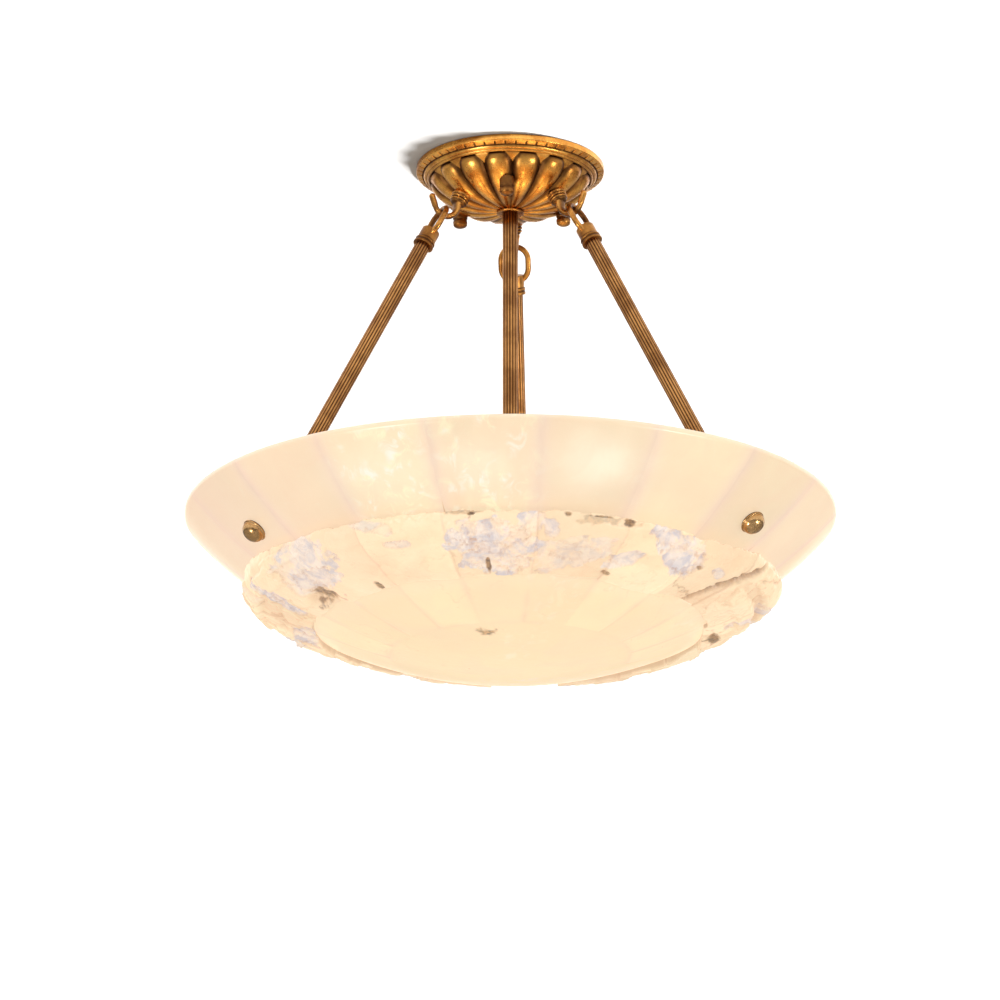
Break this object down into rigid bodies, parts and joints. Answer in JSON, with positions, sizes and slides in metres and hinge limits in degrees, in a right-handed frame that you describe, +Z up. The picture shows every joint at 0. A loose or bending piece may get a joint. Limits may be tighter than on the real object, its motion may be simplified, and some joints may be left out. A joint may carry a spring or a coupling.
{
  "type": "alabaster bowl pendant",
  "caption": "Alabaster bowl pendant: a translucent stone bowl on straight reeded rods that hook onto a gadrooned brass canopy, with a lamp cluster on a centre stem.",
  "frame": {"origin": "centre of the ceiling plane, at the middle of the ceiling plate's slots", "axes": "+Z up, out of the ceiling plate towards the ceiling; X along the line of the plate's two slots; -Y is the side in the picture"},
  "size_m": [0.4998, 0.5, 0.409],
  "materials": {
    "antique_brass": "antiqued cast and drawn brass, golden on the ridges and brown in the recesses",
    "dark_bronze": "dark bronzed, satin",
    "steel": "zinc plated",
    "alabaster": "ground and polished, translucent, lit from inside",
    "alabaster_crust": "raw, split, translucent, lit from inside",
    "rubber": "matt",
    "bulb_glass": "frosted, lit",
    "holder_ceramic": "glazed",
    "terminal_plastic": "moulded"
  },
  "bodies": {
    "mount": {"ceiling_plate": "steel", "plate_studs": "steel", "stud_nuts": "steel", "canopy_shell": "antique_brass", "stem_nipple": "steel", "nipple_nuts": "steel", "terminal_block": "terminal_plastic", "block_screw": "steel", "boss_disc": "antique_brass", "hook_1": "antique_brass", "hook_2": "antique_brass", "hook_3": "antique_brass", "hook_nuts": "steel", "centre_stem": "antique_brass", "hub_nipple": "steel", "cluster_cup": "antique_brass", "cluster_cover": "antique_brass", "cluster_finial": "antique_brass", "lampholder_1": "holder_ceramic", "lampholder_2": "holder_ceramic", "lampholder_3": "holder_ceramic"},
    "bowl": {"rod_cap_1": "antique_brass", "rod_cap_2": "antique_brass", "rod_cap_3": "antique_brass", "rod_1": "antique_brass", "rod_2": "antique_brass", "rod_3": "antique_brass", "rod_foot_1": "antique_brass", "rod_foot_2": "antique_brass", "rod_foot_3": "antique_brass", "clevis_stud_1": "antique_brass", "clevis_stud_2": "antique_brass", "clevis_stud_3": "antique_brass", "clevis_pins": "antique_brass", "pin_clips": "steel", "inner_washers": "rubber", "outer_washers": "rubber", "bowl_rim_panels": "alabaster", "bowl_crust_blocks": "alabaster_crust", "bowl_dish_panels": "alabaster", "bowl_centre_disc": "alabaster"},
    "ring_1": {"ring_1": "antique_brass"},
    "ring_2": {"ring_2": "antique_brass"},
    "ring_3": {"ring_3": "antique_brass"},
    "knob_1": {"knob_1": "dark_bronze"},
    "knob_2": {"knob_2": "dark_bronze"},
    "knob_3": {"knob_3": "dark_bronze"},
    "cap_nut_1": {"cap_nut_1": "antique_brass"},
    "cap_nut_2": {"cap_nut_2": "antique_brass"},
    "cap_nut_3": {"cap_nut_3": "antique_brass"},
    "bulb_1": {"bulb_1": "bulb_glass"},
    "bulb_2": {"bulb_2": "bulb_glass"},
    "bulb_3": {"bulb_3": "bulb_glass"}
  },
  "joints": [
    {"name": "bowl_sway", "type": "hinge", "parent": "mount", "child": "bowl", "pos_m": [0, 0, 0.06523], "axis": [0, 1, 0], "range_deg": [-2, 2]},
    {"name": "ring_1_swing", "type": "hinge", "parent": "mount", "child": "ring_1", "pos_m": [-0.0485, -0.028, -0.0402], "axis": [0, 1, 0], "range_deg": [-9.36, 9.36]},
    {"name": "ring_2_swing", "type": "hinge", "parent": "mount", "child": "ring_2", "pos_m": [0.0485, -0.028, -0.0402], "axis": [0, 1, 0], "range_deg": [-9.36, 9.36]},
    {"name": "ring_3_swing", "type": "hinge", "parent": "mount", "child": "ring_3", "pos_m": [0, 0.06046, -0.04859], "axis": [0, 1, 0], "range_deg": [-13.24, 13.24]},
    {"name": "knob_1_turn", "type": "hinge", "parent": "bowl", "child": "knob_1", "pos_m": [-0.18439, -0.10646, -0.325], "axis": [-0.5468, -0.3157, -0.7755], "continuous": true},
    {"name": "knob_2_turn", "type": "hinge", "parent": "bowl", "child": "knob_2", "pos_m": [0.18439, -0.10646, -0.325], "axis": [0.5468, -0.3157, -0.7755], "continuous": true},
    {"name": "knob_3_turn", "type": "hinge", "parent": "bowl", "child": "knob_3", "pos_m": [0, 0.21292, -0.325], "axis": [0, 0.6313, -0.7755], "continuous": true},
    {"name": "cap_nut_1_turn", "type": "hinge", "parent": "mount", "child": "cap_nut_1", "pos_m": [0, -0.047, -0.0305], "axis": [0, 0, -1], "continuous": true},
    {"name": "cap_nut_2_turn", "type": "hinge", "parent": "mount", "child": "cap_nut_2", "pos_m": [0.0407, 0.0235, -0.0305], "axis": [0, 0, -1], "continuous": true},
    {"name": "cap_nut_3_turn", "type": "hinge", "parent": "mount", "child": "cap_nut_3", "pos_m": [-0.0407, 0.0235, -0.0305], "axis": [0, 0, -1], "continuous": true},
    {"name": "bulb_1_turn", "type": "hinge", "parent": "mount", "child": "bulb_1", "pos_m": [0.01553, -0.05796, -0.314], "axis": [0.2588, -0.9659, 0], "range_deg": [0, 1080]},
    {"name": "bulb_2_turn", "type": "hinge", "parent": "mount", "child": "bulb_2", "pos_m": [0.04243, 0.04243, -0.314], "axis": [0.7071, 0.7071, 0], "range_deg": [0, 1080]},
    {"name": "bulb_3_turn", "type": "hinge", "parent": "mount", "child": "bulb_3", "pos_m": [-0.05796, 0.01553, -0.314], "axis": [-0.9659, 0.2588, 0], "range_deg": [0, 1080]}
  ],
  "couplings": [
    {"joint": "ring_1_swing", "follows": "bowl_sway", "ratio": 4.6788},
    {"joint": "ring_2_swing", "follows": "bowl_sway", "ratio": 4.6788},
    {"joint": "ring_3_swing", "follows": "bowl_sway", "ratio": 6.6156}
  ]
}
